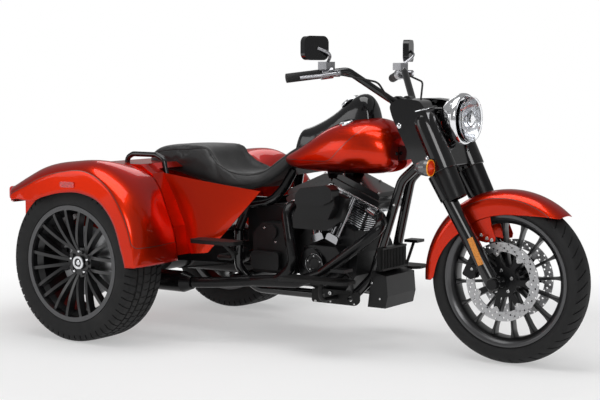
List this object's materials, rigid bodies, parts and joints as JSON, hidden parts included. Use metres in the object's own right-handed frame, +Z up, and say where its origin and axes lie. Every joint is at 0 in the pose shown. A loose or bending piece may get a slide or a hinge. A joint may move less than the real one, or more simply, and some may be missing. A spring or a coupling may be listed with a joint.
{
  "type": "motorized trike",
  "caption": "Motor trike with a steered front wheel, finned V-twin engine, stepped saddle and a trunk body between wide fenders over the driven rear wheels.",
  "frame": {"origin": "on the ground, under the middle of the whole vehicle's bounding box", "axes": "+X to the front, +Y to the rider's left, +Z up"},
  "size_m": [2.57, 1.385, 1.243],
  "materials": {
    "red_paint": "orange-red metallic paint under a clear coat",
    "black_gloss": "gloss black paint",
    "black_satin": "satin black coating",
    "chrome": "polished chrome",
    "aluminium": "cast and brushed",
    "disc_steel": "ground steel",
    "tyre": "black tread rubber",
    "grip_rubber": "matt rubber",
    "seat_vinyl": "black grained cover",
    "clear_glass": "clear",
    "amber_lens": "amber",
    "red_lens": "red",
    "mirror_shell": "black shell with a mirror face"
  },
  "bodies": {
    "chassis": {"frame": "black_gloss", "battery_box": "black_satin", "axle_housing": "black_satin", "rear_shocks": "black_gloss", "rear_calipers": "black_satin", "crankcase": "black_satin", "cylinders": "black_satin", "rocker_boxes": "black_gloss", "gear_cover": "black_gloss", "pushrods": "chrome", "air_cleaner": "black_gloss", "primary_cover": "black_gloss", "transmission": "black_satin", "drive_belt": "grip_rubber", "exhaust_headers": "black_satin", "mufflers": "black_satin", "fuel_tank": "red_paint", "console": "black_gloss", "seat": "seat_vinyl", "trunk_tub": "red_paint", "fender_right": "red_paint", "fender_left": "red_paint", "side_panels": "red_paint", "tail_lamps": "red_lens", "side_markers": "red_lens", "grab_rails": "black_gloss", "footboards": "black_satin", "foot_controls": "black_satin", "chin_box": "black_satin", "oil_cooler": "black_satin"},
    "fork": {"fork_clamps": "black_gloss", "fork_legs": "black_gloss", "nacelle": "black_gloss", "headlamp": "chrome", "headlamp_lens": "clear_glass", "handlebar": "black_gloss", "hand_grips": "grip_rubber", "hand_controls": "aluminium", "mirrors": "mirror_shell", "turn_signals": "amber_lens", "front_fender": "red_paint", "front_calipers": "black_satin", "front_axle": "black_satin", "control_cables": "grip_rubber"},
    "front_wheel_body": {"front_tyre": "tyre", "front_wheel": "black_gloss", "front_discs": "disc_steel"},
    "rear_wheel_right_body": {"rear_tyre_right": "tyre", "rear_wheel_right": "black_gloss", "rear_disc_right": "disc_steel"},
    "rear_wheel_left_body": {"rear_tyre_left": "tyre", "rear_wheel_left": "black_gloss", "rear_disc_left": "disc_steel"},
    "trunk_lid_body": {"trunk_lid": "red_paint"}
  },
  "joints": [
    {"name": "steering", "type": "hinge", "parent": "chassis", "child": "fork", "pos_m": [0.64555, 0, 0.86], "axis": [-0.4384, 0, 0.8988], "range_deg": [-30, 30]},
    {"name": "front_wheel_spin", "type": "hinge", "parent": "fork", "child": "front_wheel_body", "pos_m": [0.966, 0, 0.319], "axis": [0, 1, 0], "continuous": true},
    {"name": "rear_wheel_right_spin", "type": "hinge", "parent": "chassis", "child": "rear_wheel_right_body", "pos_m": [-0.704, -0.53, 0.325], "axis": [0, 1, 0], "continuous": true},
    {"name": "rear_wheel_left_spin", "type": "hinge", "parent": "chassis", "child": "rear_wheel_left_body", "pos_m": [-0.704, 0.53, 0.325], "axis": [0, 1, 0], "continuous": true},
    {"name": "trunk_lid_hinge", "type": "hinge", "parent": "chassis", "child": "trunk_lid_body", "pos_m": [-0.744, 0, 0.681], "axis": [0, 1, 0], "range_deg": [0, 50]}
  ]
}
